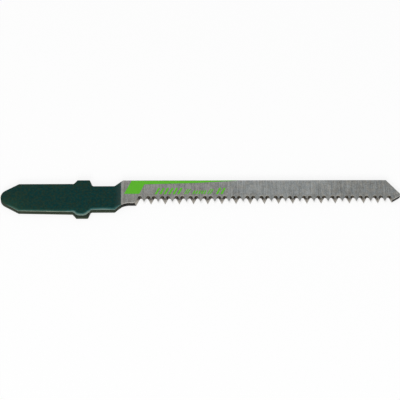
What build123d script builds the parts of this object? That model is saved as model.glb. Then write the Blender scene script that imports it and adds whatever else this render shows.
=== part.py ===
from build123d import *
import math
import os

os.makedirs("parts", exist_ok=True)

# Jigsaw blade with a T-shank, in millimetres. The nose points to +X and the tang to -X.
# The teeth point to -Y. The blade lies on its back face at z = 0, its front face up.
# X = 0 is the middle of the lugs and Y = 0 the centreline of the tang.
# Upper edges are those towards +Y and lower edges those towards -Y, as seen from the front.

# Tang, the flat tongue that goes up into the saw's clamp
shank_thickness = 1.15
tang_tip_x = -17.26
tang_tip_y = 0.08
tang_tip_radius = 2.1
tang_tip_side_angle = 33.0
tang_upper_y = 3.62
tang_lower_y_at_tip = -3.60
tang_lower_y_at_lug = -3.90

# Lugs, the two ears of the T that the clamp holds
lug_upper_height = 1.00
lug_upper_left_x = -1.42
lug_upper_right_x = 1.20
lug_lower_height = 1.10
lug_lower_left_x = -1.38
lug_lower_right_x = 1.04
lug_ramp_angle = 54.0
lug_ramp_radius = 0.30
lug_stop_angle = 71.0
lug_stop_radius = 0.45
lug_outer_radius = 0.30

# Neck, from the lugs to the blade body
neck_upper_y = 2.98
neck_upper_end_x = 6.37
neck_upper_slope = 42.4
neck_upper_radius = 0.60
neck_lower_y = -3.38
neck_lower_end_x = 6.55
neck_lower_slope = 48.0
neck_lower_radius = 0.12
heel_radius = 3.2

# Stamping rounds the front edges of the shank
stamped_edge_radius = 0.22

# Blade body, ground on both faces, thinnest at the nose and along the back
back_y = 4.53
ground_start_x = 7.85
body_thickness_at_shank = 1.00
body_thickness_at_nose = 0.75
back_relief = 0.10

# Cross-ground teeth. Each groove leans the other way from the one before it, so the
# tips come out on the front face and the back face by turns.
groove_count = 36
groove_pitch = 1.4707
first_groove_x = 11.80
groove_half_angle = 23.3
groove_lean = 17.2
groove_root_radius = 0.32
tooth_tip_y = -1.30
heel_step = 0.31

# Nose
nose_length = 2.72
nose_corner_y = 0.43
nose_upper_slope = 53.8
nose_lower_slope = 35.5
nose_radius = 0.60

# Clearances of the cutters past the metal, and the metal left below the tips for them
cutter_clearance = 0.5
tip_stock = 0.06


def run_for_rise(rise, angle):
    """The length along X in which a line at this angle in degrees rises by this height."""
    return rise / math.tan(math.radians(angle))


# Places that follow from the sizes
mid_z = shank_thickness / 2
lug_upper_y = tang_upper_y + lug_upper_height
lug_lower_y = tang_lower_y_at_lug - lug_lower_height
sharp_tip_x = tang_tip_x - tang_tip_radius * (1 / math.sin(math.radians(tang_tip_side_angle)) - 1)
heel_y = tooth_tip_y - heel_step
blank_lower_y = tooth_tip_y - tip_stock
last_groove_x = first_groove_x + (groove_count - 1) * groove_pitch
nose_x = last_groove_x + nose_length
tang_upper_side_x = sharp_tip_x + run_for_rise(tang_upper_y - tang_tip_y, tang_tip_side_angle)
tang_lower_side_x = sharp_tip_x + run_for_rise(tang_tip_y - tang_lower_y_at_tip, tang_tip_side_angle)
lug_upper_ramp_x = lug_upper_left_x - run_for_rise(lug_upper_height, lug_ramp_angle)
lug_lower_ramp_x = lug_lower_left_x - run_for_rise(lug_lower_height, lug_ramp_angle)
lug_upper_stop_x = lug_upper_right_x + run_for_rise(lug_upper_y - neck_upper_y, lug_stop_angle)
lug_lower_stop_x = lug_lower_right_x + run_for_rise(neck_lower_y - lug_lower_y, lug_stop_angle)
back_start_x = neck_upper_end_x + run_for_rise(back_y - neck_upper_y, neck_upper_slope)
back_end_x = nose_x - run_for_rise(back_y - nose_corner_y, nose_upper_slope)
nose_lower_end_x = nose_x - run_for_rise(nose_corner_y - blank_lower_y, nose_lower_slope)
heel_start_x = neck_lower_end_x + run_for_rise(heel_y - neck_lower_y, neck_lower_slope)
lean_shift = math.tan(math.radians(groove_lean)) * body_thickness_at_shank / 2
groove_apex_y = tooth_tip_y + run_for_rise(groove_pitch / 2 + lean_shift, groove_half_angle)
groove_depth = groove_apex_y - heel_y + cutter_clearance
groove_half_width = groove_depth * math.tan(math.radians(groove_half_angle))

# Outline of the blank, clockwise from the tip of the tang, each corner with its radius
outline = [
    ((sharp_tip_x, tang_tip_y), tang_tip_radius),
    ((tang_upper_side_x, tang_upper_y), 0),
    ((lug_upper_ramp_x, tang_upper_y), lug_ramp_radius),
    ((lug_upper_left_x, lug_upper_y), lug_outer_radius),
    ((lug_upper_right_x, lug_upper_y), lug_outer_radius),
    ((lug_upper_stop_x, neck_upper_y), lug_stop_radius),
    ((neck_upper_end_x, neck_upper_y), neck_upper_radius),
    ((back_start_x, back_y), 0),
    ((back_end_x, back_y), 0),
    ((nose_x, nose_corner_y), nose_radius),
    ((nose_lower_end_x, blank_lower_y), 0),
    ((first_groove_x, blank_lower_y), 0),
    ((first_groove_x, heel_y), 0),
    ((heel_start_x, heel_y), heel_radius),
    ((neck_lower_end_x, neck_lower_y), neck_lower_radius),
    ((lug_lower_stop_x, neck_lower_y), lug_stop_radius),
    ((lug_lower_right_x, lug_lower_y), lug_outer_radius),
    ((lug_lower_left_x, lug_lower_y), lug_outer_radius),
    ((lug_lower_ramp_x, tang_lower_y_at_lug), lug_ramp_radius),
    ((tang_lower_side_x, tang_lower_y_at_tip), 0),
]

# Grinding allowance: the slab around the body less the tapered section that is left
with BuildPart() as grinding:
    with BuildSketch() as slab:
        with Locations((ground_start_x, lug_lower_y)):
            Rectangle(
                nose_x - ground_start_x + cutter_clearance,
                lug_upper_y - lug_lower_y + cutter_clearance,
                align=(Align.MIN, Align.MIN),
            )
    extrude(amount=shank_thickness)
    body_sections = (
        (ground_start_x, body_thickness_at_shank),
        (nose_x + cutter_clearance, body_thickness_at_nose),
    )
    for section_x, thickness in body_sections:
        with BuildSketch(Plane(origin=(section_x, 0, mid_z), x_dir=(0, 1, 0), z_dir=(1, 0, 0))):
            lower_edge = lug_lower_y
            upper_edge = lug_upper_y + cutter_clearance
            relief_per_mm = back_relief / (back_y - tooth_tip_y)
            lower_half = thickness / 2 + relief_per_mm * (tooth_tip_y - lower_edge) / 2
            upper_half = thickness / 2 - relief_per_mm * (upper_edge - tooth_tip_y) / 2
            Polygon(
                (lower_edge, -lower_half),
                (upper_edge, -upper_half),
                (upper_edge, upper_half),
                (lower_edge, lower_half),
                align=None,
            )
    loft(mode=Mode.SUBTRACT)

# Blade: the stamped blank, its front edges rounded, then ground on the faces and toothed
with BuildPart() as blade:
    with BuildSketch():
        with BuildLine():
            FilletPolyline(
                *[corner for corner, radius in outline],
                radius=[radius for corner, radius in outline],
                close=True,
            )
        make_face()
    extrude(amount=shank_thickness)

    front_edges = blade.faces().sort_by(Axis.Z)[-1].edges()
    stamped_edges = [edge for edge in front_edges if edge.center().X < first_groove_x]
    fillet(stamped_edges, radius=stamped_edge_radius)

    add(grinding.part, mode=Mode.SUBTRACT)

    for index in range(groove_count):
        lean = groove_lean if index % 2 else -groove_lean
        groove_middle = (first_groove_x + index * groove_pitch, groove_apex_y, mid_z)
        with BuildSketch(Plane(origin=groove_middle)):
            with BuildLine():
                FilletPolyline(
                    (-groove_half_width, -groove_depth),
                    (0, 0),
                    (groove_half_width, -groove_depth),
                    radius=groove_root_radius,
                )
                Line((groove_half_width, -groove_depth), (-groove_half_width, -groove_depth))
            make_face()
        extrude(
            amount=shank_thickness,
            dir=(math.sin(math.radians(lean)), 0, math.cos(math.radians(lean))),
            both=True,
            mode=Mode.SUBTRACT,
        )

blade.part.label = "blade"
export_step(blade.part, "parts/blade.step")
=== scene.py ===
import math

import bmesh
import bpy
from mathutils import Matrix, Vector
from mathutils.geometry import intersect_point_line


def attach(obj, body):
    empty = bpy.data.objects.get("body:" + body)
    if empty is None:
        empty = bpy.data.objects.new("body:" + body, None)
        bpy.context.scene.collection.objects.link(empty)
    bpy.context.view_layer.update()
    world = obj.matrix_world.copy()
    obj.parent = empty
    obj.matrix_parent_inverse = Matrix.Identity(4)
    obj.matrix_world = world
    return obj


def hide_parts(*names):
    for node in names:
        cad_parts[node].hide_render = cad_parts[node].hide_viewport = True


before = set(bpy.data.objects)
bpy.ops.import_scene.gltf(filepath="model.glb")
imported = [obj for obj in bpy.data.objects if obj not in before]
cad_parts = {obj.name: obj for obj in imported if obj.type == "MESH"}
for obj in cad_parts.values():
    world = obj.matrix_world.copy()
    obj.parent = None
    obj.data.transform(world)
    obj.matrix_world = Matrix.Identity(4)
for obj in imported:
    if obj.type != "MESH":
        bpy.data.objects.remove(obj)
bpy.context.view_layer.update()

MM = 0.001

# The view is from in front of the teeth, 50 degrees above the table, through a long lens that
# has the whole length of the blade from side to side of the picture.
view_distance = 450 * MM
view_elevation = math.radians(50)
view_aim = Vector((24.166, -0.575, 0.667)) * MM
view_width = 83.005 * MM
view_tilt = -0.0033

bpy.ops.object.select_all(action="DESELECT")
bpy.ops.object.camera_add()
camera = bpy.context.active_object
camera.name = "long_lens"
camera.data.lens = camera.data.sensor_width * view_distance / view_width
camera.data.clip_start = 10 * MM
camera.data.clip_end = 5.0
turned = Matrix.Rotation(math.radians(90) - view_elevation, 4, "X") @ Matrix.Rotation(view_tilt, 4, "Z")
camera.matrix_world = Matrix.Translation(view_aim + turned @ Vector((0, 0, view_distance))) @ turned
bpy.context.scene.camera = camera

# The blade is stamped from one strip of carbon steel and hardened. Its body is ground bare on both
# faces and cross-ground along the teeth. The thin edges stay black, and the tooth gullets are
# coloured near black, brown at their tops.
ground_start = 7.86
teeth_start = 10.5
teeth_end = 64.2
# Where the painted burr highlights over the gullets begin and end.
first_burr_highlight = 11.0
last_burr_highlight = 63.6
nose_start = 63.8
gullet_top = 0.40
tooth_line = -1.33
heel_top = -1.4
tooth_pitch = 1.4707
first_long_tooth = 14.006
root_from_long_tooth = 0.60
root_middle = -0.042
edge_break = 0.05
merge_gap = 0.0005
sliver_gap = 0.003
flat_angle = 0.3


def copy_of_solid(name):
    """A copy of the solid blade, merged and all selected, left in edit mode."""
    bpy.ops.object.select_all(action="DESELECT")
    piece = bpy.data.objects.new(name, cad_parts["blade"].data.copy())
    bpy.context.scene.collection.objects.link(piece)
    piece.data.name = name
    piece.data.materials.clear()
    piece.select_set(True)
    bpy.context.view_layer.objects.active = piece
    bpy.ops.object.mode_set(mode="EDIT")
    bpy.ops.mesh.select_all(action="SELECT")
    bpy.ops.mesh.remove_doubles(threshold=merge_gap * MM)
    bpy.ops.mesh.customdata_custom_splitnormals_clear()
    return piece


def cut(place, square, **sides):
    """Cuts what is selected along a plane through a place, square to a direction."""
    bpy.ops.mesh.bisect(plane_co=Vector(place) * MM, plane_no=square, threshold=merge_gap * MM, **sides)


def make_flats_whole():
    """Merges points a sliver apart and joins the small faces that lie in one plane."""
    bpy.ops.mesh.select_all(action="SELECT")
    bpy.ops.mesh.remove_doubles(threshold=sliver_gap * MM)
    bpy.ops.mesh.dissolve_limited(angle_limit=math.radians(flat_angle))


def choose(kind, test):
    """Selects only the verts, edges or faces that pass the test, in edit mode."""
    bpy.ops.mesh.select_mode(type={"verts": "VERT", "edges": "EDGE", "faces": "FACE"}[kind])
    bpy.ops.mesh.select_all(action="DESELECT")
    mesh = bpy.context.edit_object.data
    shape = bmesh.from_edit_mesh(mesh)
    for part in getattr(shape, kind):
        part.select_set(bool(test(part)))
    shape.select_flush_mode()
    bmesh.update_edit_mesh(mesh)


def middle(part):
    """The middle of a face or an edge, in millimetres."""
    return sum((corner.co for corner in part.verts), Vector()) / len(part.verts) / MM


def flat_front(face):
    return face.normal.z > 0.99


def upright(face):
    return abs(face.normal.z) < 0.1


def in_gullets(part):
    """Whether the middle of this face or edge is in the row of teeth."""
    place = middle(part)
    return teeth_start < place.x < teeth_end and tooth_line < place.y < gullet_top


def gullet_face(face):
    on_nose = middle(face).x > nose_start and upright(face) and face.normal.x > 0.3
    return in_gullets(face) and abs(face.normal.z) < 0.5 and not on_nose


def thin_edge_face(face):
    return upright(face) and not gullet_face(face)


def scale_left(face):
    """A thin edge, its broken corner by the back face, or the heel's rounding."""
    if face.normal.z < -0.1:
        return face.normal.z > -0.95 and not gullet_face(face)
    place = middle(face)
    on_heel = place.x < teeth_start and place.y < heel_top and face.normal.z < 0.97
    return (on_heel or thin_edge_face(face)) and place.x > ground_start + 0.001


def edge_to_break(edge):
    """An edge between a ground face and one of the thin edges, clear of the gullets."""
    sides = edge.link_faces
    on_flat = any(abs(side.normal.z) > 0.99 for side in sides)
    on_thin_edge = any(thin_edge_face(side) for side in sides)
    return on_flat and on_thin_edge and middle(edge).x > ground_start + 0.02


def bright_edge_face(face):
    """A narrow face that leads from the ground front down to the nose's lower side."""
    on_nose = middle(face).x > nose_start and middle(face).z > 0.5
    return on_nose and 0.1 < face.normal.z < 0.97 and face.normal.y < -0.2 and not gullet_face(face)


def rounding_edge(edge):
    """An edge on what is left of the stamped rounding, apart from the one by the ground front."""
    sides = edge.link_faces
    curved = any(0.1 < side.normal.z < 0.97 for side in sides)
    return curved and not any(flat_front(side) for side in sides) and middle(edge).x < teeth_start


def give(finishes):
    """Puts each finish on the faces that pass its test, and the first one on all the rest."""
    piece = bpy.context.edit_object
    for index, (finish, test) in enumerate(finishes):
        piece.data.materials.append(finish)
        choose("faces", test)
        piece.active_material_index = index
        bpy.ops.object.material_slot_assign()


def finish_shape():
    """Smooths what is rounded, keeps the flats flat, and leaves the piece in object mode."""
    bpy.ops.object.mode_set(mode="OBJECT")
    bpy.ops.object.shade_smooth_by_angle(angle=math.radians(30))
    bpy.ops.object.mode_set(mode="EDIT")
    choose("edges", rounding_edge)
    bpy.ops.mesh.mark_sharp(clear=True)
    bpy.ops.object.mode_set(mode="OBJECT")
    bpy.ops.object.modifier_add(type="WEIGHTED_NORMAL")
    weighted = bpy.context.active_object.modifiers[-1]
    weighted.keep_sharp = True
    bpy.ops.object.modifier_apply(modifier=weighted.name)


class Wire:
    """An output of a shader node. Sums and products of wires add Math nodes."""

    def __init__(self, tree, socket=None):
        self.tree = tree
        self.socket = socket

    def node(self, kind, settings=None, inputs=None, output=0):
        """Adds a node, its settings first, sets or links its inputs, and gives one of its outputs."""
        added = self.tree.nodes.new(kind)
        for name, value in (settings or {}).items():
            setattr(added, name, value)
        for name, value in (inputs or {}).items():
            if isinstance(value, Wire):
                self.tree.links.new(value.socket, added.inputs[name])
            else:
                added.inputs[name].default_value = value
        return Wire(self.tree, added.outputs[output] if added.outputs else None)

    def math(self, operation, first, second):
        return self.node("ShaderNodeMath", {"operation": operation}, {0: first, 1: second})

    def __add__(self, other):
        return self.math("ADD", self, other)

    def __radd__(self, other):
        return self.math("ADD", other, self)

    def __sub__(self, other):
        return self.math("SUBTRACT", self, other)

    def __rsub__(self, other):
        return self.math("SUBTRACT", other, self)

    def __mul__(self, other):
        return self.math("MULTIPLY", self, other)

    def __rmul__(self, other):
        return self.math("MULTIPLY", other, self)

    def rise(self, low, high):
        """0 where this value is under low, 1 where it is over high, and a smooth step between."""
        limits = {"Value": self, "From Min": low, "From Max": high}
        return self.node("ShaderNodeMapRange", {"interpolation_type": "SMOOTHSTEP"}, limits)

    def fold(self, length):
        """This value run up and down between 0 and a length, so that it repeats."""
        return self.math("PINGPONG", self, length)

    def blend(self, low_colour, high_colour):
        """The first colour where this value is 0, the second where it is 1."""
        colours = {0: self, 6: low_colour, 7: high_colour}
        return self.node("ShaderNodeMix", {"data_type": "RGBA"}, colours, 2)

    def stretch(self, x, y, z):
        """A place multiplied on each axis."""
        return self.node("ShaderNodeVectorMath", {"operation": "MULTIPLY"}, {0: self, 1: (x, y, z)})

    def axis(self, index):
        return self.node("ShaderNodeSeparateXYZ", None, {0: self}, index)

    def noise(self, detail=2.0, roughness=0.5):
        """Smooth noise about 0.5 at this place."""
        look = {"Vector": self, "Scale": 1.0, "Detail": detail, "Roughness": roughness}
        return self.node("ShaderNodeTexNoise", None, look)

    def bump(self, strength, distance):
        """The normal of a surface raised by this height, at most by a distance in millimetres."""
        raised = {"Strength": strength, "Distance": distance * MM, "Height": self}
        return self.node("ShaderNodeBump", None, raised)


def new_finish(name):
    """An empty material, and the place on the piece in millimetres."""
    material = bpy.data.materials.new(name)
    material.use_nodes = True
    material.node_tree.nodes.clear()
    place = Wire(material.node_tree).node("ShaderNodeTexCoord", output="Object")
    return material, place.stretch(1 / MM, 1 / MM, 1 / MM)


def close_finish(place, inputs):
    """The surface shader with these inputs, joined to the material's output."""
    surface = place.node("ShaderNodeBsdfPrincipled", None, inputs)
    place.node("ShaderNodeOutputMaterial", None, {"Surface": surface})


def ground_steel_finish():
    """Bare steel, ground across the blade: streaks, bands, pits, slow painted light and shade, and a
    painted highlight along the burr over each gullet.
    """
    material, place = new_finish("ground_steel")
    fine = place.stretch(6.0, 0.25, 0.25).noise(3.0, 0.65)
    streaks = place.stretch(2.6, 0.12, 0.12).noise(2.0, 0.6)
    cloud = place.stretch(0.45, 0.7, 0.7).noise(3.0, 0.6)
    grain = place.stretch(9.0, 3.5, 3.5).noise(1.0)
    along = place.axis(0)
    back = place.axis(1).rise(3.9, 4.6)
    middle_third, last_third = along.rise(22.0, 36.0), along.rise(42.0, 58.0)
    tone = 0.41 + 1.25 * (fine - 0.5) + 0.40 * (streaks - 0.5)
    tone = tone + 0.55 * (cloud - 0.5) + 1.0 * (grain - 0.5)
    # Painted light and shade: the face is coloured lighter from the middle of the blade, darker towards the
    # nose and lighter towards the back edge, with a slight slope across the face between.
    tone = tone + 0.10 * middle_third - 0.17 * last_third + 0.08 * back
    tone = tone + 0.09 * (middle_third - 0.5 * last_third) * (place.axis(1).rise(-0.5, 4.5) - 0.5)
    tone = tone + 0.20 * (1.0 - along.rise(8.0, 8.3))
    cool = tone.blend((0.110, 0.118, 0.119, 1), (0.351, 0.369, 0.368, 1))
    warm = tone.blend((0.121, 0.119, 0.109, 1), (0.372, 0.367, 0.341, 1))
    warmth = place.stretch(1.6, 0.9, 0.9).noise(2.0).rise(0.3, 0.7)
    warmth = warmth + 0.35 - 0.65 * middle_third + 0.30 * last_third
    steel = warmth.blend(cool, warm)
    pits = place.stretch(2.2, 2.2, 2.2).noise(0.0).rise(0.86, 0.90)
    steel = pits.blend(steel, (0.09, 0.085, 0.075, 1))
    bright = place.stretch(-2.6, 1.8, 1.8).noise(0.0).rise(0.86, 0.90)
    steel = (0.8 * bright).blend(steel, (0.62, 0.61, 0.58, 1))
    # Painted highlight: a light line along the burr over each gullet, where the burr catches the light.
    from_long_tooth = (along - first_long_tooth).fold(tooth_pitch)
    across = from_long_tooth - root_from_long_tooth
    above = place.axis(1) - root_middle
    burr_highlight = (1.0 - (across * across + above * above).rise(0.13, 0.25)) * place.axis(1).rise(0.10, 0.24)
    in_row = along.rise(first_burr_highlight, first_burr_highlight + 0.2) * (1.0 - along.rise(last_burr_highlight, nose_start))
    burr_highlight = burr_highlight * in_row * cloud.rise(0.25, 0.60)
    steel = (0.9 * burr_highlight).blend(steel, (0.45, 0.43, 0.38, 1))
    close_finish(place, {
        "Base Color": steel,
        "Metallic": 1.0,
        "Roughness": 0.34 + 0.16 * fine,
        "Normal": fine.bump(0.12, 0.004),
    })
    return material


def hardened_edge_finish():
    """Black scale left from hardening on the thin edges, ground off along the top of the heel."""
    material, place = new_finish("hardened_edge")
    patches = place.stretch(3.0, 3.0, 3.0).noise(3.0, 0.6)
    scale = patches.rise(0.38, 0.70).blend((0.003, 0.003, 0.003, 1), (0.030, 0.029, 0.025, 1))
    by_heel = (1.0 - place.axis(0).rise(10.6, 10.8)) * (1.0 - place.axis(1).rise(-1.45, -1.35))
    touched = by_heel * (place.axis(2) + 0.12 * (patches - 0.5)).rise(0.975, 1.005)
    bare = patches.blend((0.24, 0.23, 0.21, 1), (0.52, 0.50, 0.46, 1))
    close_finish(place, {
        "Base Color": touched.blend(scale, bare),
        "Metallic": touched,
        "Roughness": 0.50,
        "Specular IOR Level": 0.1,
        "Normal": patches.bump(0.3, 0.02),
    })
    return material


def bright_edge_finish():
    """The line along the nose's lower side that the grinding has just touched, with a painted highlight:
    coloured much lighter than the ground face.
    """
    material, place = new_finish("bright_edge")
    touch = place.stretch(3.0, 3.0, 3.0).noise(2.0, 0.6)
    close_finish(place, {
        "Base Color": touch.blend((0.34, 0.33, 0.30, 1), (0.70, 0.68, 0.63, 1)),
        "Metallic": 1.0,
        "Roughness": 0.42,
    })
    return material


def tooth_finish():
    """Bright where the stone left the tooth flanks; down in the gullets, near black and brown at the top.
    """
    material, place = new_finish("tooth_grind")
    ragged = place.stretch(2.5, 2.5, 2.5).noise(2.0) - 0.5
    height = place.axis(1) + 0.3 * ragged
    bright = 1.0 - height.rise(-0.27, -0.04)
    stone = place.stretch(0.5, 6.0, 9.0).noise(2.0)
    flank = stone.blend((0.27, 0.255, 0.225, 1), (0.50, 0.47, 0.42, 1))
    dark_in_gullet = height.rise(0.06, 0.30).blend((0.011, 0.010, 0.009, 1), (0.085, 0.073, 0.055, 1))
    colour = bright.blend(dark_in_gullet, flank)
    close_finish(place, {
        "Base Color": colour,
        "Metallic": bright,
        "Roughness": 0.55 - 0.2 * bright,
        "Specular IOR Level": 0.2,
    })
    return material


body = copy_of_solid("blade_body")
cut((ground_start, 0, 0), (1, 0, 0), use_fill=True, clear_inner=True)
make_flats_whole()
choose("edges", edge_to_break)
bpy.ops.mesh.bevel(offset=edge_break * MM, segments=2, affect="EDGES")
give([
    (ground_steel_finish(), lambda face: True),
    (hardened_edge_finish(), scale_left),
    (tooth_finish(), gullet_face),
    (bright_edge_finish(), bright_edge_face),
])
finish_shape()
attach(body, "root")
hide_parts("blade")

# The shank is the same strip, left at its full thickness and kept in a thin dark green coat.
# Stamping has rounded its front edges and sheared its sides. Along the lower rounding the coat
# has a painted glow, a painted highlight and painted shade.
shank_thickness = 1.15
side_end = 0.45
rounding_start = 0.90
lower_side = -1.4
roll_drop = 0.05
roll_reach = 0.48
roll_end_x = (6.4, 7.7)
roll_end_y = (-2.6, -1.6)
neck_roll_drop = 0.04
neck_middle, neck_half_length = 4.0, 2.6
bowl_middle = (-0.42, -3.07)
bowl_radius = 1.22
bowl_top = -3.55
bowl_slope_length = 0.95
bowl_half_width = (1.6, 2.3)
bowl_drop = 0.34


def rolled_back_edge(face):
    return 0.05 < face.normal.z < 0.95 and face.normal.y > 0.1


def coat_finish():
    """The green coat: mottled and ground away beside the body, with a painted glow, a painted highlight and
    painted shade along the lower rounding.
    """
    material, place = new_finish("shank_coat")
    mottle = place.stretch(0.6, 0.6, 0.6).noise(4.0, 0.65)
    fleck = place.stretch(2.4, 2.4, 2.4).noise(2.0, 0.6)
    towards_tip = 1.0 - place.axis(0).rise(-17.0, -4.0)
    hue = 0.30 * towards_tip + 1.3 * (mottle - 0.5) + 3.8 * (fleck - 0.5) + 0.33
    hue = hue + 0.25 * place.axis(1).rise(2.2, 3.4)
    shade = place.stretch(-2.9, 2.9, 2.9).noise(1.0)
    dark = hue.blend((0.0, 0.0145, 0.0140, 1), (0.0062, 0.0160, 0.0092, 1))
    light = hue.blend((0.0, 0.0405, 0.0392, 1), (0.0165, 0.0435, 0.0280, 1))
    coat = shade.blend(dark, light)
    greener = (1.0 - place.axis(0).rise(-17.0, -10.0)) * (1.0 - place.axis(1).rise(-3.0, 1.0))
    greener = 0.5 * greener + 0.12 * (1.0 - place.axis(1).rise(-3.6, -2.4))
    coat = greener.blend(coat, (0.018, 0.064, 0.036, 1))
    thin = place.axis(0).rise(6.2, 8.1)
    coat = (0.7 * thin).blend(coat, (0.034, 0.056, 0.052, 1))
    by_lower_edge = 1.0 - place.axis(1).rise(-2.4, -1.6)
    from_lug = place.axis(0).rise(-4.5, -2.0)
    height = place.axis(2) + 0.012 * (1.0 - from_lug)
    # Painted glow: a lighter teal band on the upper part of the lower rounding.
    painted_glow = by_lower_edge * (1.0 - height.rise(1.095, 1.150)) * (0.3 + 1.2 * mottle)
    coat = painted_glow.blend(coat, from_lug.blend((0.030, 0.085, 0.066, 1), (0.026, 0.104, 0.102, 1)))
    # Painted highlight: a light line lower on the rounding, fainter at the tip and by the lug.
    height = height - 0.07 * from_lug
    off_tip = 0.35 + 0.65 * place.axis(0).rise(-14.5, -12.0)
    painted_highlight = by_lower_edge * off_tip * (1.0 - height.rise(0.95, 1.03)) * (0.1 + 1.6 * mottle)
    painted_highlight = painted_highlight * (1.0 - 0.70 * from_lug)
    coat = painted_highlight.blend(coat, (0.400, 0.425, 0.330, 1))
    # Painted shade: the steepest part of the rounding and the bowl's slope by the lug are coloured near
    # black.
    painted_shade = by_lower_edge * (1.0 - height.rise(0.825, 0.875))
    coat = painted_shade.blend(coat, (0.012, 0.020, 0.014, 1))
    touched = (place.axis(0) + 0.017 * place.axis(1) + 0.04 * (mottle - 0.5)).rise(7.72, 7.80)
    coat = touched.blend(coat, (0.225, 0.240, 0.232, 1))
    close_finish(place, {
        "Base Color": coat,
        "Roughness": 0.36 + 0.1 * mottle,
        "Specular IOR Level": 0.06,
        "Normal": fleck.bump(0.08, 0.01),
    })
    return material


def rolled_back_finish():
    """The rounded upper edge, where the coat is dull and browner."""
    material, place = new_finish("rolled_back_edge")
    mottle = place.stretch(1.5, 1.5, 1.5).noise(3.0, 0.6)
    close_finish(place, {
        "Base Color": mottle.blend((0.022, 0.030, 0.018, 1), (0.050, 0.055, 0.036, 1)),
        "Roughness": 0.6,
        "Specular IOR Level": 0.0,
    })
    return material


def sheared_edge_finish():
    """The stamped sides: burnished above, torn below, with a smooth lip at the back face."""
    material, place = new_finish("sheared_edge")
    tear = place.stretch(6.0, 6.0, 1.5).noise(3.0, 0.6)
    height = place.axis(2)
    burnished = height.rise(0.42, 0.62)
    lower_lip = 1.0 - height.rise(0.08, 0.22)
    olive = tear.blend((0.008, 0.015, 0.008, 1), (0.050, 0.068, 0.038, 1))
    olive = burnished.blend(olive, (0.016, 0.025, 0.014, 1))
    olive = lower_lip.blend(olive, (0.030, 0.046, 0.030, 1))
    close_finish(place, {
        "Base Color": olive,
        "Roughness": 0.5,
        "Specular IOR Level": 0.1,
        "Normal": tear.bump(0.3, 0.02),
    })
    return material


def stamped_front(face):
    """The flat top of the shank, or a face of its rounding along the lower side."""
    place = middle(face)
    on_rounding = face.normal.z > 0.02 and place.z > rounding_start and place.y < 0
    return place.z > shank_thickness - 0.01 or on_rounding


def share_between(low, high, value):
    """0 up to the low value, 1 from the high value on, and a smooth step between."""
    share = min(max((value - low) / (high - low), 0), 1)
    return share * share * (3 - 2 * share)


def rim_of_top(mesh):
    """The edges on the lower side where the flat top meets its rounding, in millimetres."""
    flat, curved = set(), set()
    for face in mesh.polygons:
        if face.normal.z > 0.9995:
            flat.update(face.vertices)
        elif face.normal.z > 0.05:
            curved.update(face.vertices)
    rim = flat & curved
    ends = [[mesh.vertices[corner].co.xy / MM for corner in edge.vertices]
            for edge in mesh.edges if rim.issuperset(edge.vertices)]
    return rim, [(first, second) for first, second in ends if max(first.y, second.y) < lower_side]


def distance_to(lines, place):
    """How far a place is from the nearest of these lines."""
    gaps = []
    for first, second in lines:
        share = min(max(intersect_point_line(place, first, second)[1], 0), 1)
        gaps.append((place - first.lerp(second, share)).length)
    return min(gaps)


def pressed_depth(place, gap):
    """How far stamping pulled the front face down, at a place this far inside its lower rim."""
    near_edge = max(1 - gap / roll_reach, 0) ** 2
    along_neck = max(1 - abs(place.x - neck_middle) / neck_half_length, 0)
    roll = (roll_drop + neck_roll_drop * share_between(0, 1, along_neck)) * near_edge
    roll *= (1 - share_between(*roll_end_x, place.x)) * (1 - share_between(*roll_end_y, place.y))
    beyond = min((place.xy - Vector(bowl_middle)).length - bowl_radius, bowl_top - place.y)
    bowl = bowl_drop * min(max(beyond / bowl_slope_length, 0), 1) ** 1.4
    bowl *= 1 - share_between(*bowl_half_width, abs(place.x - bowl_middle[0]))
    return roll + bowl


def steps(start, end, pitch):
    """Places from start to end, one pitch apart."""
    return [start + pitch * index for index in range(round((end - start) / pitch) + 1)]


def cuts_over_front():
    """The planes of a grid over the front, closest together by the lug, each with its direction."""
    cut_x = steps(-17.2, -2.4, 0.2) + steps(-2.3, 1.9, 0.1) + steps(2.0, 7.6, 0.2)
    cut_y = steps(-4.9, -4.0, 0.1) + steps(-3.85, -2.2, 0.15)
    return [((x, 0, 0), (1, 0, 0)) for x in cut_x] + [((0, y, 0), (0, 1, 0)) for y in cut_y]


shank = copy_of_solid("blade_shank")
cut((ground_start, 0, 0), (1, 0, 0), use_fill=True, clear_outer=True)
make_flats_whole()
for place, square in cuts_over_front():
    choose("faces", stamped_front)
    cut(place, square)
bpy.ops.mesh.select_all(action="SELECT")
bpy.ops.mesh.remove_doubles(threshold=0.001 * MM)
bpy.ops.object.mode_set(mode="OBJECT")
rim, rim_lines = rim_of_top(shank.data)
pressed = shank.vertex_groups.new(name="pressed")
for corner in shank.data.vertices:
    place = corner.co / MM
    if place.z > side_end and place.y < lower_side:
        on_flat = place.z > shank_thickness - 0.0001 and corner.index not in rim
        gap = distance_to(rim_lines, place.xy) if on_flat else 0
        pressed.add([corner.index], pressed_depth(place, gap) / bowl_drop, "REPLACE")
bpy.ops.object.modifier_add(type="DISPLACE")
press = shank.modifiers[-1]
press.direction = "Z"
press.vertex_group = pressed.name
press.mid_level = 0
press.strength = -bowl_drop * MM
bpy.ops.object.modifier_apply(modifier=press.name)
bpy.ops.object.mode_set(mode="EDIT")
give([
    (coat_finish(), lambda face: True),
    (rolled_back_finish(), rolled_back_edge),
    (sheared_edge_finish(), upright),
])
finish_shape()
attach(shank, "root")
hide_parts("blade")

# The green print is one thin coat of ink on the ground front face: a slanted block by the
# shank, a stripe that runs from it along the back edge and narrows to nothing, and slanted bars.
sheet_height = 2.0
ink_height = 0.015
ink_depth = 0.020
block_left = ((8.38, 0.85), (9.87, 4.36))
block_right = ((11.55, 0.84), (12.60, 3.44))
stripe_lower = [((12.60, 3.44), (23.55, 3.80)), ((23.55, 3.80), (31.90, 4.42))]
print_left, print_right = 8.30, 32.2
print_lower, print_upper = 0.845, 4.45


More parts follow.
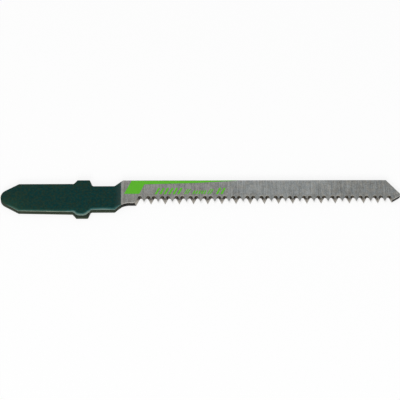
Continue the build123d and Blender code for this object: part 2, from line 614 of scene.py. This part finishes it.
def cut_along(line, **sides):
    """Cuts what is selected along a straight line between two points of the face."""
    (x1, y1), (x2, y2) = line
    cut((x1, y1, 0), Vector((y1 - y2, x2 - x1, 0)).normalized(), **sides)


def right_of(line):
    """A test for faces to the right of a line that rises over the face."""
    (x1, y1), (x2, y2) = line

    def test(face):
        place = middle(face)
        return (place.x - x1) * (y2 - y1) > (place.y - y1) * (x2 - x1)

    return test


def below_stripe(face):
    """Right of the block and under the lower edge of the stripe, which turns once."""
    under = any(right_of(line)(face) for line in stripe_lower)
    return right_of(block_right)(face) and under


def flat_piece(name, left, right, lower, upper):
    """A flat rectangle above the front face, left in edit mode."""
    bpy.ops.object.select_all(action="DESELECT")
    centre = ((left + right) / 2 * MM, (lower + upper) / 2 * MM, sheet_height * MM)
    bpy.ops.mesh.primitive_plane_add(size=1, location=centre)
    piece = bpy.context.active_object
    piece.scale = ((right - left) * MM, (upper - lower) * MM, 1)
    bpy.ops.object.transform_apply(location=True, rotation=True, scale=True)
    piece.name = piece.data.name = name
    bpy.ops.object.mode_set(mode="EDIT")
    return piece


def lay_ink(piece):
    """Lays the flat shape on the ground face, gives it its thickness, and leaves it in object mode."""
    bpy.ops.object.mode_set(mode="OBJECT")
    bpy.ops.object.modifier_add(type="SHRINKWRAP")
    wrap = piece.modifiers[-1]
    wrap.target = body
    wrap.wrap_method = "PROJECT"
    wrap.use_project_z = True
    wrap.use_negative_direction = True
    wrap.use_positive_direction = False
    wrap.offset = ink_height * MM
    bpy.ops.object.modifier_apply(modifier=wrap.name)
    bpy.ops.object.modifier_add(type="SOLIDIFY")
    depth = piece.modifiers[-1]
    depth.thickness = ink_depth * MM
    depth.offset = -1
    bpy.ops.object.modifier_apply(modifier=depth.name)
    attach(piece, "root")


def ink_finish():
    """Green ink, a little thinner in places and drawn out along the blade."""
    material, place = new_finish("green_ink")
    cover = place.stretch(2.2, 2.2, 2.2).noise(4.0, 0.6)
    drag = place.stretch(6.0, 0.5, 1.0).noise(2.0)
    tone = 0.5 + 0.5 * (cover - 0.5) + 0.3 * (drag - 0.5)
    ink = tone.blend((0.088, 0.395, 0.022, 1), (0.122, 0.475, 0.030, 1))
    close_finish(place, {
        "Base Color": ink,
        "Roughness": 0.42,
        "Specular IOR Level": 0.1,
        "Normal": cover.bump(0.05, 0.005),
    })
    return material


green_ink = ink_finish()
flash = flat_piece("green_flash", print_left, print_right, print_lower, print_upper)
cut_along(block_left, clear_outer=True)
bpy.ops.mesh.select_all(action="SELECT")
cut_along(block_right)
for line in stripe_lower:
    choose("faces", right_of(block_right))
    cut_along(line)
choose("faces", below_stripe)
bpy.ops.mesh.delete(type="FACE")
lay_ink(flash)
flash.data.materials.append(green_ink)

bar_rows = [
    {"left": 14.75, "lower": 0.72, "height": 1.70, "width": 0.46, "slant": 0.42, "pitch": 0.93, "count": 6},
    {"left": 20.84, "lower": 0.76, "height": 1.37, "width": 0.25, "slant": 0.53, "pitch": 0.50, "count": 2},
    {"left": 22.55, "lower": 0.76, "height": 0.95, "width": 0.33, "slant": 0.42, "pitch": 0.58, "count": 5},
    {"left": 25.62, "lower": 0.76, "height": 1.37, "width": 0.25, "slant": 0.53, "pitch": 0.50, "count": 2},
    {"left": 27.45, "lower": 0.72, "height": 1.70, "width": 0.46, "slant": 0.42, "pitch": 0.93, "count": 2},
]
bars = []
for row in bar_rows:
    left, lower, height, width = row["left"], row["lower"], row["height"], row["width"]
    bar = flat_piece("bar", left, left + width, lower, lower + height)
    choose("verts", lambda corner: corner.co.y > (lower + height / 2) * MM)
    bpy.ops.transform.translate(value=(row["slant"] * height * MM, 0, 0))
    bpy.ops.object.mode_set(mode="OBJECT")
    bars.append(bar)
    for step in range(1, row["count"]):
        bpy.ops.object.duplicate()
        bpy.ops.transform.translate(value=(row["pitch"] * MM, 0, 0))
        bpy.ops.object.transform_apply(location=True, rotation=True, scale=True)
        bars.append(bpy.context.active_object)
for bar in bars:
    bar.select_set(True)
bpy.context.view_layer.objects.active = bars[0]
bpy.ops.object.join()
marks = bpy.context.active_object
marks.name = marks.data.name = "green_marks"
bpy.ops.object.mode_set(mode="EDIT")
lay_ink(marks)
marks.data.materials.append(green_ink)

# The blade lies on a plain white table in an even white room. Two soft lamps light it from the
# teeth side, a large one from above and a smaller one lower down.
table_size = 1.6
table_gap = 0.005
lamp_distance = 2.0
lamp_side = -0.10
room_light = 0.36
table_glow = 0.6

bpy.ops.object.select_all(action="DESELECT")
bpy.ops.mesh.primitive_plane_add(size=table_size, location=(0, 0, -table_gap * MM))
table = bpy.context.active_object
table.name = table.data.name = "table"
bpy.ops.object.transform_apply(location=True, rotation=True, scale=True)
white, place = new_finish("white_table")
lit = place.node("ShaderNodeBsdfDiffuse", None, {"Color": (1, 1, 1, 1)})
own = place.node("ShaderNodeEmission", None, {"Color": (1, 1, 1, 1), "Strength": 1.0})
on_camera = place.node("ShaderNodeLightPath", output="Is Camera Ray") * table_glow
surface = place.node("ShaderNodeMixShader", None, {0: on_camera, 1: lit, 2: own})
place.node("ShaderNodeOutputMaterial", None, {"Surface": surface})
table.data.materials.append(white)

lamps = [
    {"name": "soft_lamp", "elevation": 72, "size": 1.1, "power": 22.0},
    {"name": "front_lamp", "elevation": 25, "size": 0.7, "power": 11.0},
]
for lamp in lamps:
    elevation = math.radians(lamp["elevation"])
    direction = Vector((lamp_side, -math.cos(elevation), math.sin(elevation))).normalized()
    bpy.ops.object.light_add(type="AREA", location=view_aim + direction * lamp_distance)
    light = bpy.context.active_object
    light.name = lamp["name"]
    light.data.shape = "DISK"
    light.data.size = lamp["size"]
    light.data.energy = lamp["power"]
    light.rotation_euler = direction.to_track_quat("Z", "Y").to_euler()

world = bpy.data.worlds.new("white_room")
world.use_nodes = True
world.node_tree.nodes.clear()
bpy.context.scene.world = world
room = Wire(world.node_tree)
camera_ray = room.node("ShaderNodeLightPath", output="Is Camera Ray")
glossy_ray = room.node("ShaderNodeLightPath", output="Is Glossy Ray")
through_ray = room.node("ShaderNodeLightPath", output="Is Transmission Ray")
seen = (camera_ray + glossy_ray + through_ray).rise(0.0, 0.5)
strength = room_light + (1.0 - room_light) * seen
backdrop = room.node("ShaderNodeBackground", None, {"Color": (1, 1, 1, 1), "Strength": strength})
room.node("ShaderNodeOutputWorld", None, {"Surface": backdrop})

bpy.context.scene.view_settings.view_transform = "Standard"
